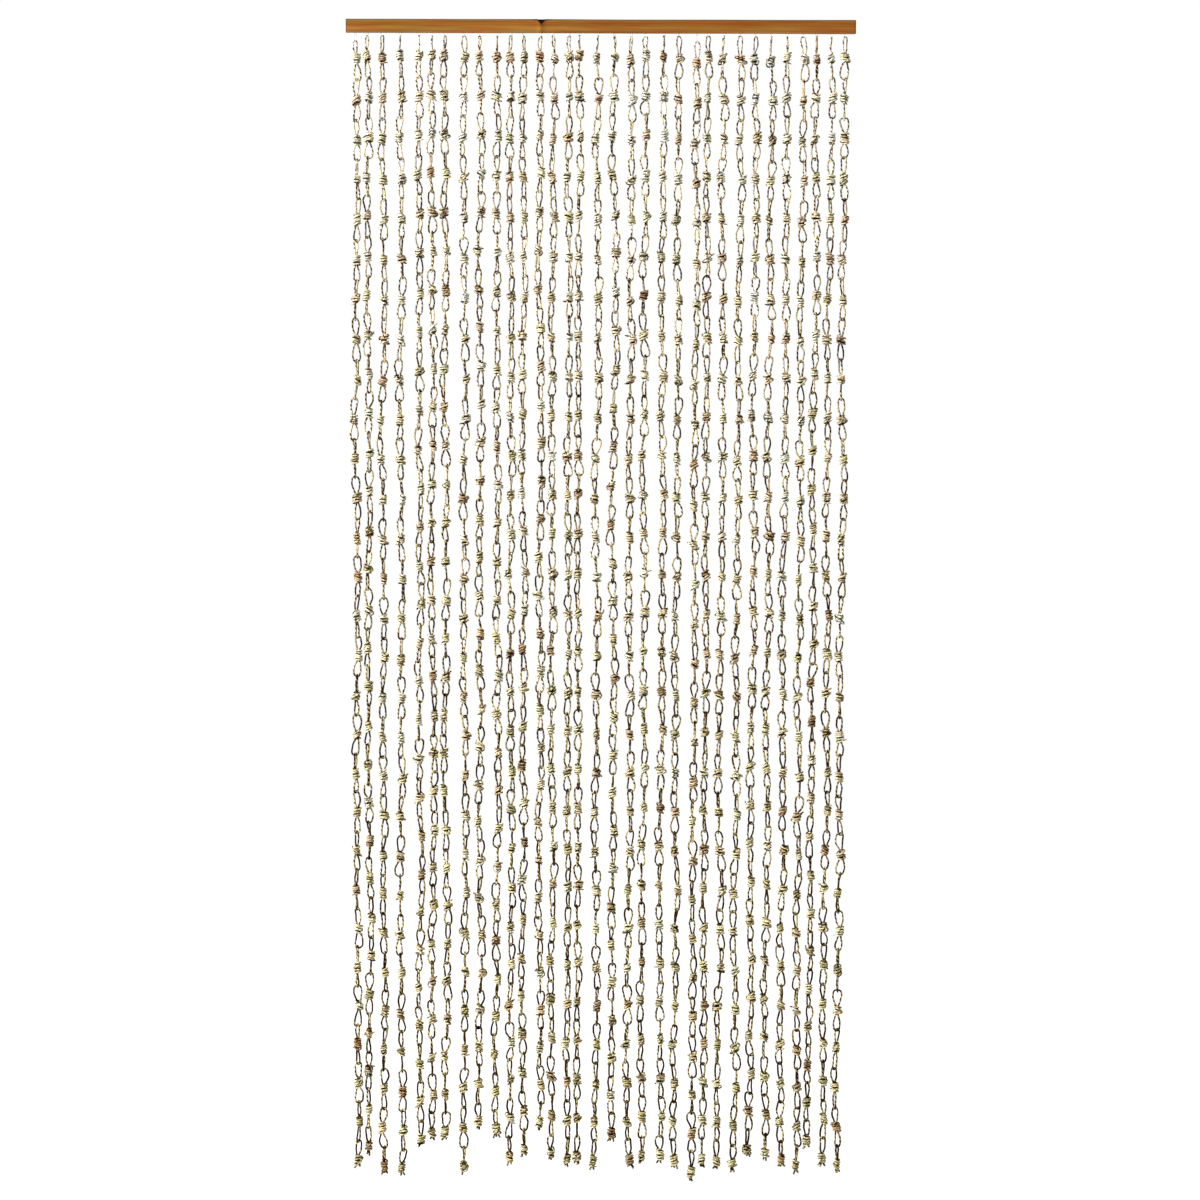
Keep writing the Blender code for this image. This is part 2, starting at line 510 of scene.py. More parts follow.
class Chain:
    """The links of one strand, woven from its wire eye down. It stays between the planes low and high."""

    def __init__(self, number, room):
        self.dice = random.Random(SEED * 1000 + number)
        rings = rings_of(f"strand_{number:02d}")
        self.centres = rings[2::3]
        if len(self.centres) != KNOTS:
            raise ValueError(f"strand {number} has {len(self.centres)} knots")
        root = rings[0][0]
        self.low = root - room[0]
        self.high = root + room[1]
        self.stray()
        self.weave = Weave(KNOTS, CHAIN_ROW_LENGTH)
        drop = TOP_DROPS.get(number, self.dice.uniform(*TOP_DROP_RANGE))
        self.hook = np.array((root, 0.0, BATTEN_UNDER - drop - 2 * CORD_RADIUS))
        self.turn = math.radians(FIRST_TURNS[number - 1] * self.dice.choice((-1, 1)))
        self.top = (self.hook + UP * CORD_RADIUS, self.turn)
        for index in range(KNOTS):
            self.add_link(index)

    def stray(self):
        """Moves the knots a little from the solid's, by a slow sway and by chance."""
        reach = COIL_RADIUS + WRAP_RADIUS
        start = any_angle(self.dice)
        pace = self.dice.uniform(*SLOW_PACE)
        for index, centre in enumerate(self.centres):
            centre[0] += SLOW_SWAY * math.sin(start + pace * index) * min(index / STEADY_KNOTS, 1.0)
            centre += np.array([either_way(KNOT_SWAY, self.dice) for _ in range(3)]) * SWAY_SHARES
            if self.high - self.low > 2 * reach:
                centre[0] = min(max(centre[0], self.low + reach), self.high - reach)

    def add_link(self, index):
        dice = self.dice
        centre = self.centres[index]
        last = index == KNOTS - 1
        down = index / (KNOTS - 1)
        style = pick(STYLES, dice)
        tints = link_tints(index, dice)
        if last:
            below = centre - UP * (style.half + END_BELOW)
        else:
            below = (centre + self.centres[index + 1]) / 2
            below = below + UP * either_way(HOOK_SHIFT, dice)
            below[0] += either_way(HOOK_SWAY, dice)
        tilt = np.array((either_way(LINK_TILT, dice), either_way(LINK_TILT, dice), 0.0))
        axis = unit(unit(self.hook - below) + tilt)
        turn_below = self.turn + math.radians(either_way(KNOT_TURN_SPREAD, dice))
        thickness = between(CORD_THICKNESS, down)
        kind = Kind(LOOP_HALF_WIDTHS, thickness, between(PALE_LOOPS, down), PALE_SWING, PALE_WAVES)
        link = Link(centre, axis, style, *tints, kind)
        touch = UP * (CORD_RADIUS + TOUCH_GAP)
        self.add_loop(link, self.hook + touch, 1, self.turn, kind if index else TOP_KIND)
        if not last:
            self.add_loop(link, below - touch, -1, turn_below, kind)
        self.add_knot(link)
        if last:
            self.add_ends(link)
        side = 1 if dice.random() < 0.5 else -1
        self.turn = turn_below + math.radians(side * 90 + either_way(LINK_TURN_SPREAD, dice))
        self.hook = below
        self.weave.next_row()

    def add_loop(self, link, tip, way, facing, kind):
        """An open loop from the knot's upper face, or its lower one where way is -1, to its tip."""
        dice = self.dice
        base = link.centre + link.axis * (way * (link.style.half - LOOP_INSIDE))
        room = min(self.high - tip[0], tip[0] - self.low) - CORD_RADIUS - LOOP_CLEAR
        widest = room / max(abs(math.cos(facing)), LEAST_FACING)
        half_width = max(min(dice.uniform(*kind.half_widths), widest), NARROWEST_LOOP)
        path, normals = loop_path(base, tip, facing, half_width, dice)
        along = np.linspace(0, 2 * math.pi, len(path))[:, None]
        pale = kind.pale + kind.swing * np.sin(along * dice.uniform(*kind.waves) + any_angle(dice))
        tints = np.concatenate((np.broadcast_to(link.loop_tint, (len(path), 3)), pale), axis=1)
        radii = uneven(CORD_RADIUS * kind.thickness, CORD_THINNING, len(path), dice)
        self.weave.tube(keep_in(path, self.low, self.high, CORD_RADIUS), normals, radii, tints)

    def add_knot(self, link):
        """A core round the legs, painted dark as shade between the turns, and the cord wound over it."""
        dice = self.dice
        core_half = link.axis * link.style.half * CORE_LENGTH
        core = np.array([link.centre - core_half, link.centre, link.centre + core_half])
        core_painted_shade = np.append(link.knot_tint * dice.uniform(*CORE_PAINTED_SHADES), 1.0)
        self.weave.tube(core, np.tile((1.0, 0.0, 0.0), (3, 1)), CORE_RADIUS, core_painted_shade)
        tail = dice.triangular(*TAIL_LENGTHS, TAIL_LENGTHS[0]) if dice.random() < TAIL_SHARE else 0.0
        lean = np.array((either_way(KNOT_LEAN, dice), either_way(KNOT_LEAN, dice), 0.0))
        path, outward = coil_path(link.centre, unit(link.axis + lean), link.style, self.turn, tail, dice)
        path = keep_in(path, self.low, self.high, WRAP_RADIUS)
        along = np.linspace(0, 1, len(path))[:, None]
        blend = 0.5 + 0.5 * np.sin(along * dice.uniform(*DYE_WAVES) + any_angle(dice))
        tints = link.knot_tint + (link.other_tint - link.knot_tint) * blend * SECOND_DYE
        patches = [dice.uniform(*PATCH_TONES) for _ in range(PATCHES)]
        tints *= np.interp(along, np.linspace(0, 1, PATCHES), patches)
        radii = uneven(WRAP_RADIUS, WRAP_THINNING, len(path), dice)
        if tail:
            tints[-len(TAIL_RADII):] *= TAIL_SHADE
            radii[-len(TAIL_RADII):] = TAIL_RADII
        pale = np.full((len(path), 1), dice.uniform(*PALE_KNOTS))
        tints = np.concatenate((tints, pale), axis=1)
        self.weave.tube(path, outward, radii, tints, painted_round_shade=PAINTED_CREVICE_SHADE)

    def add_ends(self, link):
        """The cord's cut ends, under the last knot."""
        dice = self.dice
        tint = np.append(link.loop_tint, link.kind.pale)
        under = link.centre - link.axis * (link.style.half - END_INSIDE)
        for _ in range(dice.choice(END_COUNTS)):
            away = np.array((either_way(END_SPLAY, dice), either_way(END_SPLAY, dice), -1.0))
            start = under + away * (END_APART, END_APART, 0.0)
            length = dice.uniform(*END_LENGTHS) + END_INSIDE
            bend = np.array((either_way(END_BEND, dice), either_way(END_BEND, dice), 0.0))
            path = np.array([start, start + away * length * 0.5, start + (away + bend) * length])
            path = keep_in(path, self.low, self.high, CORD_RADIUS)
            self.weave.tube(path, np.tile((0.0, 1.0, 0.1), (3, 1)), CORD_RADIUS, tint)


def make_strand(number, room, material):
    """Adds a strand's chain, and gives the crest and turn of its first loop for its wire eye."""
    name = f"strand_{number:02d}"
    chain = Chain(number, room)
    made = chain.weave.build(f"chain_{number:02d}", material)
    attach(made, "root")
    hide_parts(name)
    return chain.top


# Shader helpers
def new_material(name):
    material = bpy.data.materials.new(name)
    material.use_nodes = True
    return material, material.node_tree, material.node_tree.nodes["Principled BSDF"]


def add_node(tree, kind, **settings):
    node = tree.nodes.new(kind)
    for key, value in settings.items():
        setattr(node, key, value)
    return node


def feed(tree, socket, value):
    """Links another node's output to a socket, or sets the socket to a number or colour."""
    if isinstance(value, bpy.types.NodeSocket):
        tree.links.new(value, socket)
    else:
        socket.default_value = value


def math_node(tree, operation, *values):
    node = add_node(tree, "ShaderNodeMath", operation=operation)
    for socket, value in zip(node.inputs, values):
        feed(tree, socket, value)
    return node.outputs[0]


def product(tree, *factors):
    result = factors[0]
    for factor in factors[1:]:
        result = math_node(tree, "MULTIPLY", result, factor)
    return result


def spread(tree, value, into, out_of=(0.0, 1.0)):
    """Maps a value from one range into another."""
    node = add_node(tree, "ShaderNodeMapRange")
    feed(tree, node.inputs["Value"], value)
    node.inputs["From Min"].default_value = out_of[0]
    node.inputs["From Max"].default_value = out_of[1]
    node.inputs["To Min"].default_value = into[0]
    node.inputs["To Max"].default_value = into[1]
    return node.outputs["Result"]


def scaled(tree, colour, factor):
    """A colour times a number."""
    node = add_node(tree, "ShaderNodeVectorMath", operation="SCALE")
    feed(tree, node.inputs[0], colour)
    feed(tree, node.inputs["Scale"], factor)
    return node.outputs[0]


def tinted(tree, colour, tint):
    """A colour times another one."""
    node = add_node(tree, "ShaderNodeVectorMath", operation="MULTIPLY")
    feed(tree, node.inputs[0], colour)
    feed(tree, node.inputs[1], tint)
    return node.outputs[0]


def noise(tree, vector, scale, detail=3.0, rough=0.55):
    node = add_node(tree, "ShaderNodeTexNoise")
    feed(tree, node.inputs["Vector"], vector)
    node.inputs["Scale"].default_value = scale
    node.inputs["Detail"].default_value = detail
    node.inputs["Roughness"].default_value = rough
    return node.outputs["Fac"]


def streaks(tree, vector, stretch, detail, rough=0.55):
    """Noise with its own scale along, back and up."""
    node = add_node(tree, "ShaderNodeMapping")
    feed(tree, node.inputs["Vector"], vector)
    node.inputs["Scale"].default_value = stretch
    return noise(tree, node.outputs[0], 1.0, detail, rough)


def ramp(tree, value, stops):
    """A colour that goes from stop to stop. Each stop is a place from 0 to 1 and its colour."""
    node = add_node(tree, "ShaderNodeValToRGB")
    elements = node.color_ramp.elements
    elements[0].color = (*stops[0][1], 1)
    elements[1].color = (*stops[-1][1], 1)
    for place, colour in stops[1:-1]:
        elements.new(place).color = (*colour, 1)
    feed(tree, node.inputs[0], value)
    return node.outputs["Color"]


def bump(tree, shader, height, strength, distance):
    node = add_node(tree, "ShaderNodeBump")
    node.inputs["Strength"].default_value = strength
    node.inputs["Distance"].default_value = distance
    feed(tree, node.inputs["Height"], height)
    tree.links.new(node.outputs[0], shader.inputs["Normal"])


def object_place(tree):
    return add_node(tree, "ShaderNodeTexCoord").outputs["Object"]


def split(tree, vector):
    node = add_node(tree, "ShaderNodeSeparateXYZ")
    feed(tree, node.inputs[0], vector)
    return node.outputs["X"], node.outputs["Y"], node.outputs["Z"]


# Noise seldom leaves this range
MOST_NOISE = (0.25, 0.75)

# Twisted paper cord. Each pair of shades is at its darkest and at its lightest
TWIST_PITCH = 8.0 * MM
TWIST_WANDER = 5.0
CREASES = 5.0
WANDER_SCALE = 200.0
FIBRE_SCALE = 1500.0
PATCH_SCALE = 90.0
MOTTLE_SCALE = 340.0
# The groove colour is a darker ply and painted shade in the valleys between the plies, as a share of the
# cord's colour
GROOVE_PLY_AND_SHADE = (0.080, 0.038, 0.008)
GROOVE_WIDTH = 0.95
GROOVE_SHARPNESS = 3.0
GROOVE_PATCHES = (-0.35, 0.35)
GROOVE_FIBRE = (-0.12, 0.12)
FIBRE_SHADES = (0.85, 1.12)
# Painted shade in the fine creases of the twist: darker where the creases dip in the bump
CREASE_PAINTED_SHADES = (0.92, 1.06)
MOTTLE_SHADES = (0.55, 1.50)


def make_cord_material():
    material, tree, shader = new_material("paper_cord")
    attribute = add_node(tree, "ShaderNodeAttribute", attribute_name="tint")
    tint = attribute.outputs["Color"]
    paleness = attribute.outputs["Alpha"]
    along, around, _ = split(tree, add_node(tree, "ShaderNodeUVMap", uv_map="cord_turns").outputs[0])
    place = object_place(tree)
    wander = noise(tree, place, WANDER_SCALE, 2.0)
    fibre = noise(tree, place, FIBRE_SCALE, 3.0)
    patch = noise(tree, place, PATCH_SCALE, 2.0)
    mottle = noise(tree, place, MOTTLE_SCALE, 1.0)

    phase = math_node(tree, "MULTIPLY", along, 2 * math.pi / TWIST_PITCH)
    phase = math_node(tree, "MULTIPLY_ADD", around, 2 * math.pi, phase)
    phase = math_node(tree, "MULTIPLY_ADD", wander, TWIST_WANDER, phase)
    ply = math_node(tree, "MULTIPLY_ADD", math_node(tree, "COSINE", phase), 0.5, 0.5)
    crease = math_node(tree, "COSINE", math_node(tree, "MULTIPLY", phase, CREASES))

    # Dark grooves between the plies, narrower where the cord is pale: a darker ply colour together with
    # painted shade in the valleys of the twist
    groove = math_node(tree, "MULTIPLY_ADD", paleness, -1.0, GROOVE_WIDTH)
    groove = math_node(tree, "ADD", groove, spread(tree, patch, GROOVE_PATCHES, (0.3, 0.7)))
    light = math_node(tree, "SUBTRACT", ply, groove)
    light = math_node(tree, "ADD", spread(tree, fibre, GROOVE_FIBRE, MOST_NOISE), light)
    light = math_node(tree, "MULTIPLY_ADD", light, GROOVE_SHARPNESS, 0.5)
    light.node.use_clamp = True
    colour = add_node(tree, "ShaderNodeMix", data_type="VECTOR")
    feed(tree, colour.inputs["Factor"], light)
    feed(tree, colour.inputs[4], tinted(tree, tint, GROOVE_PLY_AND_SHADE))
    feed(tree, colour.inputs[5], tint)

    shade = product(
        tree,
        spread(tree, fibre, FIBRE_SHADES, MOST_NOISE),
        spread(tree, crease, CREASE_PAINTED_SHADES, (-1.0, 1.0)),
        spread(tree, mottle, MOTTLE_SHADES, (0.32, 0.66)),
    )
    tree.links.new(scaled(tree, colour.outputs[1], shade), shader.inputs["Base Color"])
    shader.inputs["Roughness"].default_value = 0.82
    shader.inputs["Specular IOR Level"].default_value = 0.0
    height = math_node(tree, "MULTIPLY_ADD", fibre, 0.35, math_node(tree, "POWER", ply, 0.5))
    height = math_node(tree, "MULTIPLY_ADD", crease, 0.08, height)
    bump(tree, shader, height, 0.8, 0.6 * MM)
    return material


# Bamboo batten, with the sizes of its solid
BATTEN_LENGTH = 900 * MM
BATTEN_HEIGHT = 24 * MM
BATTEN_DEPTH = 10 * MM
EDGE_RADIUS = 1.2 * MM
NODE_ACROSS = -105 * MM
NOTCH_WIDTH = 18 * MM
NOTCH_DROP = 6 * MM
NOTCH_INWARD = 4 * MM

# The batten's sections: their points, and how far apart they are, also near the node
FRONT_ROWS = 18
BACK_ROWS = 4
EDGE_STEPS = 4
FIRST_SECTION = 1 * MM
LAST_SECTION = 0.5 * MM
SECTION_STEP = 6 * MM
NODE_STEP = 0.5 * MM
NODE_REACH = 12.5 * MM
SHARP_DEGREES = 38

# Distances from a sawn end, and how far the batten's outline is drawn in there
SAWN_ENDS = ((0.0, 0.5 * MM), (0.4 * MM, 0.15 * MM))

# How the batten differs from a plain slat
NODE_SWELL = 0.5 * MM
SWELL_WIDTH = 6.0 * MM
FACE_CROWN = 0.35 * MM

# Its uneven edges: how far they stray, and the pace and start of a quick wave and a slow one
Wave = namedtuple("Wave", "height quick quick_start slow slow_start")
TOP_WAVE = Wave(0.22 * MM, 17.0, 0.6, 5.3, 0.0)
UNDER_WAVE = Wave(0.25 * MM, 11.0, 2.1, 7.9, 1.0)


def batten_profile():
    """Points round the batten's outline as (back, up) from its middle, down the front face first."""
    half_deep, half_high = BATTEN_DEPTH / 2, BATTEN_HEIGHT / 2
    points = []
    for i in range(FRONT_ROWS + 1):
        points.append((-half_deep, (half_high - EDGE_RADIUS) * (1 - 2 * i / FRONT_ROWS)))
    corners = ((-1, -1, 180), (1, -1, 270), (1, 1, 0), (-1, 1, 90))
    for deep_way, high_way, first in corners:
        middle = (deep_way * (half_deep - EDGE_RADIUS), high_way * (half_high - EDGE_RADIUS))
        for step in range(1, EDGE_STEPS + 1):
            angle = math.radians(first + step * 90 / EDGE_STEPS)
            points.append((
                middle[0] + EDGE_RADIUS * math.cos(angle),
                middle[1] + EDGE_RADIUS * math.sin(angle),
            ))
        if (deep_way, high_way) == (1, -1):
            for i in range(1, BACK_ROWS + 1):
                points.append((half_deep, (half_high - EDGE_RADIUS) * (2 * i / BACK_ROWS - 1)))
    return points[:-1]


def batten_stations():
    """The places of the sections along the batten, each with how far its outline is drawn in."""
    half = BATTEN_LENGTH / 2
    plain = np.arange(-half + FIRST_SECTION, half - LAST_SECTION, SECTION_STEP)
    plain = [x for x in plain if abs(x - NODE_ACROSS) > NODE_REACH + NODE_STEP]
    near_node = np.arange(NODE_ACROSS - NODE_REACH, NODE_ACROSS + NODE_REACH + NODE_STEP / 2, NODE_STEP)
    stations = [(x, 0.0) for x in [*plain, *near_node]]
    for from_end, inset in SAWN_ENDS:
        stations += [(from_end - half, inset), (half - from_end, inset)]
    return sorted(stations)


def edge_wave(wave, x):
    quick = math.sin(x * wave.quick + wave.quick_start)
    slow = math.cos(x * wave.slow + wave.slow_start)
    return wave.height * (1 + quick * slow)


def batten_section(x, inset, profile):
    """The outline at one place along the batten: crowned, with uneven edges and the node's swelling."""
    top_wave = edge_wave(TOP_WAVE, x)
    under_wave = edge_wave(UNDER_WAVE, x)
    swell = NODE_SWELL * math.exp(-((x - NODE_ACROSS) / SWELL_WIDTH) ** 2)
    points = []
    for back, up in profile:
        level = up / (BATTEN_HEIGHT / 2)
        y = back
        z = up - BATTEN_HEIGHT / 2
        if back < 0:
            y += FACE_CROWN * level ** 2
            y -= swell * (1 - level ** 4)
        z -= top_wave * max(level, 0.0) ** 2
        z += under_wave * max(-level, 0.0) ** 2
        y *= 1 - inset / (BATTEN_DEPTH / 2)
        z += inset * (-1 if up > 0 else 1)
        points.append((x, y, z))
    return points


def make_batten(material):
    profile = batten_profile()
    stations = batten_stations()
    points = []
    for x, inset in stations:
        points += batten_section(x, inset, profile)
    size = len(profile)
    faces = []
    for i in range(len(stations) - 1):
        a = i * size
        for k in range(size):
            after = (k + 1) % size
            faces.append((a + k, a + size + k, a + size + after, a + after))
    end = (len(stations) - 1) * size
    faces.append(tuple(range(size)))
    faces.append(tuple(range(end + size - 1, end - 1, -1)))
    made = new_object("batten_slat", new_mesh("batten_slat", points, faces))
    cut_notch(made)
    mesh = made.data
    mesh.materials.clear()
    mesh.materials.append(material)
    mesh.polygons.foreach_set("use_smooth", [True] * len(mesh.polygons))
    mesh.set_sharp_from_angle(angle=math.radians(SHARP_DEGREES))
    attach(made, "root")
    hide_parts("batten")


# The hollow at the node: its cutter's levels go on above the batten, and its sides bulge
NOTCH_SIDES = 40
NOTCH_LEVELS = 9
LEVELS_ABOVE = 2
NOTCH_BULGE_ACROSS = 0.85
NOTCH_BULGE_DEEP = 0.6
NOTCH_FORWARD = 0.3 * MM


def cut_notch(batten):
    """Takes a squashed cone, point down, out of the front's top edge at the cane's node."""
    points = [(NODE_ACROSS, -BATTEN_DEPTH / 2, -NOTCH_DROP)]
    for level in range(1, NOTCH_LEVELS + 1):
        part = level / (NOTCH_LEVELS - LEVELS_ABOVE)
        wide = NOTCH_WIDTH / 2 * part ** NOTCH_BULGE_ACROSS
        deep = NOTCH_INWARD * part ** NOTCH_BULGE_DEEP
        for k in range(NOTCH_SIDES):
            angle = 2 * math.pi * k / NOTCH_SIDES
            points.append((
                NODE_ACROSS + wide * math.cos(angle),
                -BATTEN_DEPTH / 2 - NOTCH_FORWARD + deep * math.sin(angle),
                -NOTCH_DROP * (1 - part),
            ))
    faces = [(0, 1 + (k + 1) % NOTCH_SIDES, 1 + k) for k in range(NOTCH_SIDES)]
    for level in range(NOTCH_LEVELS - 1):
        lower = 1 + level * NOTCH_SIDES
        upper = lower + NOTCH_SIDES
        for k in range(NOTCH_SIDES):
            after = (k + 1) % NOTCH_SIDES
            faces.append((lower + k, lower + after, upper + after, upper + k))
    faces.append(tuple(1 + (NOTCH_LEVELS - 1) * NOTCH_SIDES + k for k in range(NOTCH_SIDES)))
    cutter = new_object("notch_cutter", new_mesh("notch_cutter", points, faces))
    cut = batten.modifiers.new("notch", "BOOLEAN")
    cut.operation = "DIFFERENCE"
    cut.solver = "EXACT"
    cut.object = cutter
    bpy.context.view_layer.update()
    shaped = batten.evaluated_get(bpy.context.evaluated_depsgraph_get())
    batten.data = bpy.data.meshes.new_from_object(shaped)
    batten.modifiers.clear()
    bpy.data.objects.remove(cutter)


# Bands down the batten's face: how far down, and the colour in linear light
BAMBOO_BANDS = (
    (0.00, (0.228, 0.145, 0.058)),
    (0.09, (0.244, 0.118, 0.030)),
    (0.22, (0.260, 0.090, 0.012)),
    (0.42, (0.266, 0.099, 0.014)),
    (0.62, (0.308, 0.136, 0.025)),
    (0.80, (0.292, 0.120, 0.024)),
    (0.92, (0.260, 0.112, 0.026)),
    (1.00, (0.290, 0.140, 0.045)),
)
BAND_WANDER = 0.24
BEHIND_SHIFT = 0.4

# Streaks of the cane: their scales along, back and up
GRAIN = (6.0, 160.0, 420.0)
FINE_GRAIN = (30.0, 900.0, 2200.0)
BROAD_GRAIN = (3.5, 60.0, 110.0)
HUE_GRAIN = (11.0, 60.0, 170.0)

# Painted shadow round the hollow, and thin wings of painted shade along the top edge
HOLLOW_SHADOW_HALF_WIDTH = 9.4 * MM
HOLLOW_SHADOW_DROP = 9.4 * MM
WING_HALF_WIDTH = 22 * MM
WING_DROP = 3.8 * MM
SHADOW_RAGGED = 0.5
SHADOW_EDGE = (1.15, 1.50)
HOLLOW_SHADOW_SHADES = (0.04, 1.0)
SHADOW_FADE = (0.0, 1.5)
SHADOW_FADE_BACK = (-1.0 * MM, 2.5 * MM)

# The dark ring of the node, and the painted light and shade on the flanks of its swelling
RING_ACROSS = 1.2 * MM
RING_SHADES = (0.74, 1.0)
RING_EDGE = (0.6 * MM, 5.0 * MM)
FLANK_REACH = 12 * MM
FLANK_SLOPE = -32.0

# Painted shade along the front's top edge and painted light along its lower edge, the darker sawn ends, and
# the places where each sets in
BEHIND_AT = (-3.9 * MM, -2.9 * MM)
TOP_EDGE_PAINTED_SHADES = (0.30, 1.0)
TOP_EDGE_SHADE_AT = (-0.8 * MM, -2.2 * MM)
TOP_EDGE_SHADE_BEHIND = 0.7
LOWER_EDGE_PAINTED_LIGHT = (1.0, 1.9)
LOWER_EDGE_LIGHT_AT = (-22.0 * MM, -23.6 * MM)
SAWN_SHADES = (1.0, 0.45)
SAWN_AT = (446.5 * MM, 449.5 * MM)

# Tones from the left end to the right one: painted light, brighter towards the right to make up for the key
# lamp's falloff, and a hue that drifts
WHOLE_LENGTH = (-BATTEN_LENGTH / 2, BATTEN_LENGTH / 2)
LENGTH_PAINTED_LIGHT = (0.98, 1.06)
LENGTH_HUES = (1.04, 0.91)


def hollow_painted_shadow(tree, grain, aside, back, up):
    """Painted shadow, nearly black, round the hollow in the front, with a ragged edge."""
    under = math_node(tree, "MULTIPLY", up, -1.0)
    reaches = []
    for half_width, drop in ((HOLLOW_SHADOW_HALF_WIDTH, HOLLOW_SHADOW_DROP), (WING_HALF_WIDTH, WING_DROP)):
        down = math_node(tree, "DIVIDE", under, drop)
        reaches.append(math_node(tree, "MULTIPLY_ADD", aside, 1 / half_width, down))
    edge = math_node(tree, "MULTIPLY_ADD", grain, SHADOW_RAGGED, math_node(tree, "MINIMUM", *reaches))
    edge = math_node(tree, "ADD", edge, spread(tree, back, SHADOW_FADE, SHADOW_FADE_BACK))
    return spread(tree, edge, HOLLOW_SHADOW_SHADES, SHADOW_EDGE)


def node_ring_and_painted_flank(tree, beside, aside):
    """A darker ring, and painted light and shade on the swelling: lighter to its left and darker to its
    right.
    """
    ring = math_node(tree, "ABSOLUTE", math_node(tree, "SUBTRACT", beside, RING_ACROSS))
    ring = spread(tree, ring, RING_SHADES, RING_EDGE)
    near = spread(tree, aside, (1.0, 0.0), (0.0, FLANK_REACH))
    painted_flank = math_node(tree, "MULTIPLY_ADD", product(tree, beside, near), FLANK_SLOPE, 1.0)
    return product(tree, ring, painted_flank)


def edge_painted_light_and_ends(tree, along, up, behind):
    """Painted shade at the front's top edge, painted light at the lower edge, and darker sawn ends."""
    # Painted shade along the front's top edge
    top_edge_painted_shade = spread(tree, up, TOP_EDGE_PAINTED_SHADES, TOP_EDGE_SHADE_AT)
    top_edge_painted_shade = math_node(tree, "MULTIPLY_ADD", behind, TOP_EDGE_SHADE_BEHIND, top_edge_painted_shade)
    top_edge_painted_shade.node.use_clamp = True
    # Painted light along the lower edge
    lower = spread(tree, up, LOWER_EDGE_PAINTED_LIGHT, LOWER_EDGE_LIGHT_AT)
    ends = spread(tree, math_node(tree, "ABSOLUTE", along), SAWN_SHADES, SAWN_AT)
    return product(tree, top_edge_painted_shade, lower, ends)


def make_bamboo_material():
    material, tree, shader = new_material("bamboo")
    place = object_place(tree)
    along, back, up = split(tree, place)
    grain = streaks(tree, place, GRAIN, 4.0, 0.6)
    fine = streaks(tree, place, FINE_GRAIN, 3.0, 0.6)
    broad = streaks(tree, place, BROAD_GRAIN, 2.0)
    hue = streaks(tree, place, HUE_GRAIN, 2.0)

    wander = math_node(tree, "MULTIPLY_ADD", broad, BAND_WANDER, -BAND_WANDER / 2)
    down = spread(tree, up, (0.0, 1.0), (0.0, -BATTEN_HEIGHT))
    behind = spread(tree, back, (0.0, 1.0), BEHIND_AT)
    down = math_node(tree, "MULTIPLY_ADD", behind, BEHIND_SHIFT, down)
    skin = ramp(tree, math_node(tree, "ADD", down, wander), BAMBOO_BANDS)
    tinge = product(
        tree,
        spread(tree, hue, (0.80, 1.20), (0.35, 0.65)),
        spread(tree, along, LENGTH_HUES, WHOLE_LENGTH),
    )
    stain = add_node(tree, "ShaderNodeCombineXYZ")
    for socket, value in zip(stain.inputs, (1.0, tinge, tinge)):
        feed(tree, socket, value)

    beside = math_node(tree, "SUBTRACT", along, NODE_ACROSS)
    aside = math_node(tree, "ABSOLUTE", beside)
    tone = math_node(tree, "MULTIPLY_ADD", grain, 0.6, math_node(tree, "MULTIPLY", broad, 0.4))
    shade = product(
        tree,
        spread(tree, fine, (0.90, 1.08), MOST_NOISE),
        spread(tree, tone, (0.72, 1.30), (0.34, 0.66)),
        hollow_painted_shadow(tree, grain, aside, back, up),
        node_ring_and_painted_flank(tree, beside, aside),
        edge_painted_light_and_ends(tree, along, up, behind),
        spread(tree, along, LENGTH_PAINTED_LIGHT, WHOLE_LENGTH),
    )
    stained = tinted(tree, skin, stain.outputs[0])
    tree.links.new(scaled(tree, stained, shade), shader.inputs["Base Color"])
    shader.inputs["Roughness"].default_value = 0.5
    shader.inputs["Specular IOR Level"].default_value = 0.06
    bump(tree, shader, math_node(tree, "MULTIPLY_ADD", fine, 0.5, grain), 0.35, 0.4 * MM)
    return material


# Wire eyes that hold the top loops
WIRE_RADIUS = 0.28 * MM
WIRE_INSIDE = 5.0 * MM
WIRE_SIDES = 6
EYE_HALF_WIDTH = 2.2 * MM
EYE_ROW_LENGTH = 0.055
WIRE_SPOTS = 900.0
WIRE_COLOURS = ((0.0, (0.45, 0.42, 0.36)), (1.0, (0.85, 0.82, 0.75)))


def make_wire_material():
    material, tree, shader = new_material("eye_wire")
    spots = noise(tree, object_place(tree), WIRE_SPOTS, 3.0)
    tree.links.new(ramp(tree, spots, WIRE_COLOURS), shader.inputs["Base Color"])
    shader.inputs["Metallic"].default_value = 1.0
    shader.inputs["Roughness"].default_value = 0.42
    bump(tree, shader, spots, 0.2, 0.1 * MM)
    return material


def eye_path(crest, across):
    """A wire from inside the batten, down under a loop's crest and back up."""
    side = across * EYE_HALF_WIDTH
    low = crest - UP * (CORD_RADIUS + WIRE_RADIUS)
    above = BATTEN_UNDER - low[2]
    path = [
        low + side + UP * (above + WIRE_INSIDE),
        low + side + UP * max(EYE_HALF_WIDTH, above / 2),
    ]
    for degrees in range(0, 181, 30):
        angle = math.radians(degrees)
        path.append(low + side * math.cos(angle) + UP * EYE_HALF_WIDTH * (1 - math.sin(angle)))
    path.append(path[1] - side * 2)
    path.append(path[0] - side * 2)
    return np.array(path)


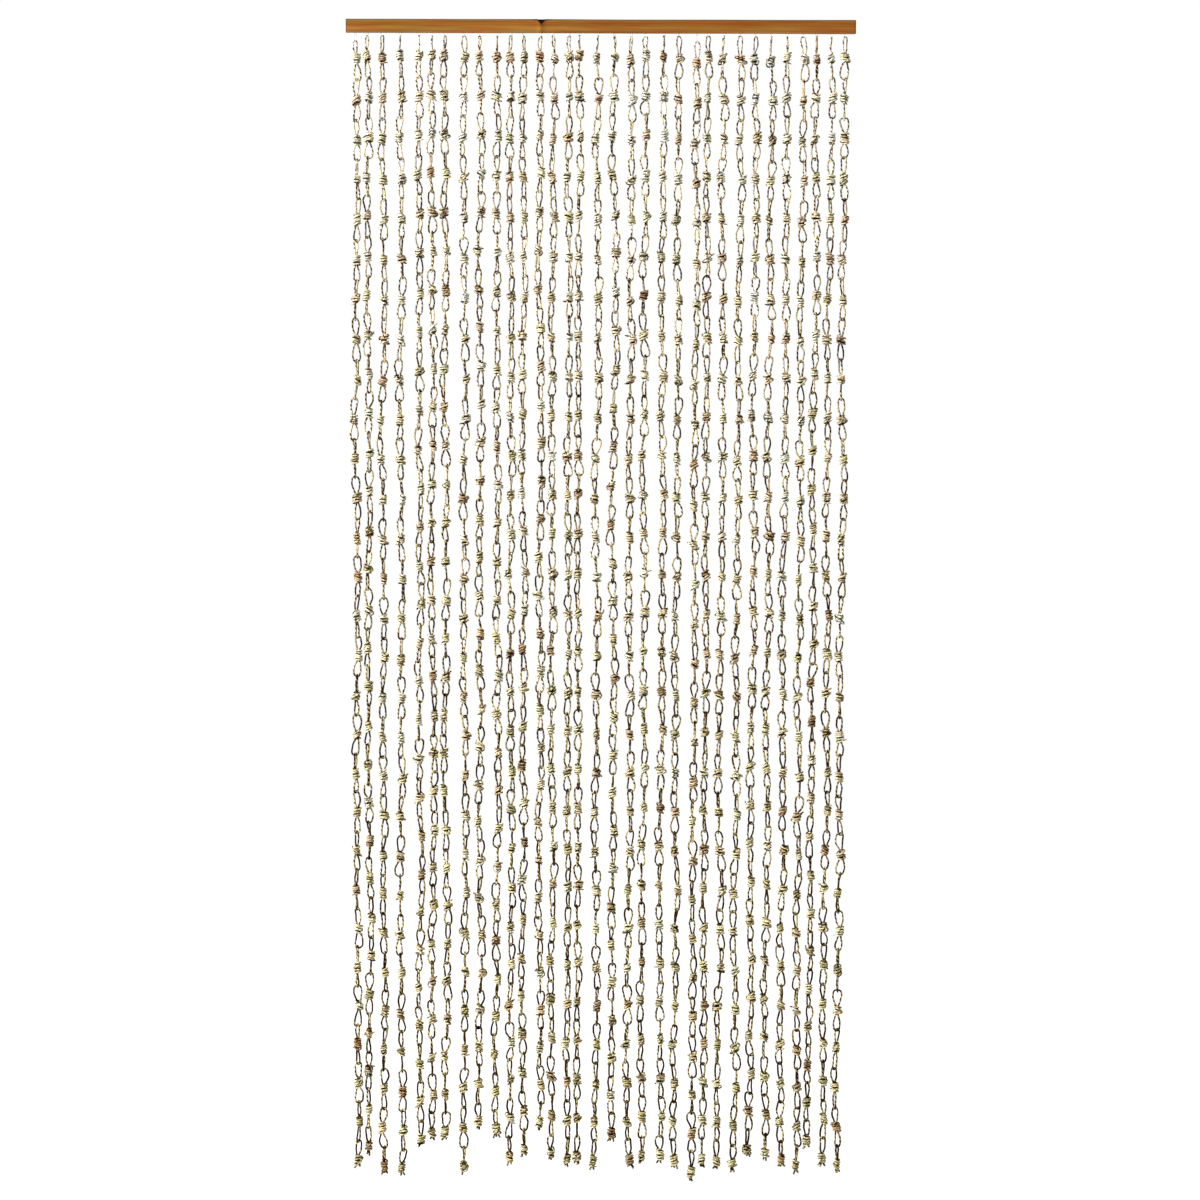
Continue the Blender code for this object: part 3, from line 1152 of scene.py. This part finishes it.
def make_eyes(tops, material):
    """A wire eye for each strand's first loop, across the loop's turn."""
    weave = Weave(len(tops), EYE_ROW_LENGTH)
    for crest, turn in tops:
        across = np.array((-math.sin(turn), math.cos(turn), 0.0))
        path = eye_path(crest, across)
        normals = np.tile(np.cross(across, UP), (len(path), 1))
        weave.tube(path, normals, WIRE_RADIUS, np.ones(4), sides=WIRE_SIDES)
        weave.next_row()
    made = weave.build("wire_eyes", material)
    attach(made, "root")


# Camera, looking a little down, with angles in degrees. FOCAL_SHARE is its focal length in frame widths
CAMERA_AWAY = 4.5
CAMERA_HEIGHT = -0.7665
CAMERA_ACROSS = 0.0013
PITCH = 3.3
ROLL = 0.16
SENSOR = 36.0
FOCAL_SHARE = 2520.7 / 1200


def make_camera():
    data = bpy.data.cameras.new("camera")
    data.sensor_fit = "HORIZONTAL"
    data.sensor_width = SENSOR
    data.lens = SENSOR * FOCAL_SHARE
    data.clip_start = 0.1
    data.clip_end = 100
    camera = new_object("camera", data)
    camera.location = (CAMERA_ACROSS, -CAMERA_AWAY, CAMERA_HEIGHT)
    pitch = Euler((math.radians(90 - PITCH), 0, 0)).to_matrix()
    roll = Euler((0, 0, math.radians(ROLL))).to_matrix()
    camera.rotation_euler = (pitch @ roll).to_euler()
    bpy.context.scene.camera = camera


# Surroundings
FLOOR_HEIGHT = -2.115
FLOOR_CORNERS = [(-8, -7, 0), (8, -7, 0), (8, 5, 0), (-8, 5, 0)]
FLOOR_GREY = (0.30, 0.30, 0.30, 1)
WHITE = (1, 1, 1, 1)
KEY_PLACE = (-4.5, -2.5, 1.2)
KEY_TARGET = (0, 0, -0.9)
KEY_SIZE = 1.6
KEY_POWER = 500

# Glow of the floor and sky: what is looked at, and what the curtain gets
FLOOR_SEEN = 0.86
FLOOR_FELT = 0.25
SKY_SEEN = 1.0
SKY_FELT = (0.14, 0.62)
SKY_HEIGHTS = (-0.2, 1.0)


def seen_or_felt(tree, seen, felt):
    """One number for what is looked at, and another for the light that reaches the curtain."""
    mixed = add_node(tree, "ShaderNodeMix", data_type="FLOAT")
    looked_at = add_node(tree, "ShaderNodeLightPath").outputs["Is Camera Ray"]
    for socket, value in zip(mixed.inputs[:1] + mixed.inputs[2:4], (looked_at, felt, seen)):
        feed(tree, socket, value)
    return mixed.outputs[0]


def make_floor():
    mesh = new_mesh("floor", FLOOR_CORNERS, [(0, 1, 2, 3)])
    floor = new_object("floor", mesh)
    floor.location.z = FLOOR_HEIGHT
    material, tree, shader = new_material("floor")
    shader.inputs["Base Color"].default_value = FLOOR_GREY
    shader.inputs["Roughness"].default_value = 0.9
    shader.inputs["Specular IOR Level"].default_value = 0.0
    shader.inputs["Emission Color"].default_value = WHITE
    tree.links.new(seen_or_felt(tree, FLOOR_SEEN, FLOOR_FELT), shader.inputs["Emission Strength"])
    mesh.materials.append(material)


def make_key_light():
    data = bpy.data.lights.new("key", "AREA")
    data.shape = "RECTANGLE"
    data.size = KEY_SIZE
    data.size_y = KEY_SIZE
    data.energy = KEY_POWER
    light = new_object("key", data)
    light.location = KEY_PLACE
    light.rotation_euler = (Vector(KEY_TARGET) - Vector(KEY_PLACE)).to_track_quat("-Z", "Y").to_euler()


def make_sky():
    scene = bpy.context.scene
    scene.view_settings.view_transform = "Standard"
    scene.world = bpy.data.worlds.new("studio")
    scene.world.use_nodes = True
    tree = scene.world.node_tree
    sky = tree.nodes["Background"]
    sky.inputs["Color"].default_value = WHITE
    _, _, height = split(tree, add_node(tree, "ShaderNodeTexCoord").outputs["Generated"])
    glow = spread(tree, height, SKY_FELT, SKY_HEIGHTS)
    tree.links.new(seen_or_felt(tree, SKY_SEEN, glow), sky.inputs["Strength"])


tops = []
cord_material = make_cord_material()
for number, room in enumerate(rooms(), 1):
    tops.append(make_strand(number, room, cord_material))
make_eyes(tops, make_wire_material())
make_batten(make_bamboo_material())
make_camera()
make_floor()
make_key_light()
make_sky()
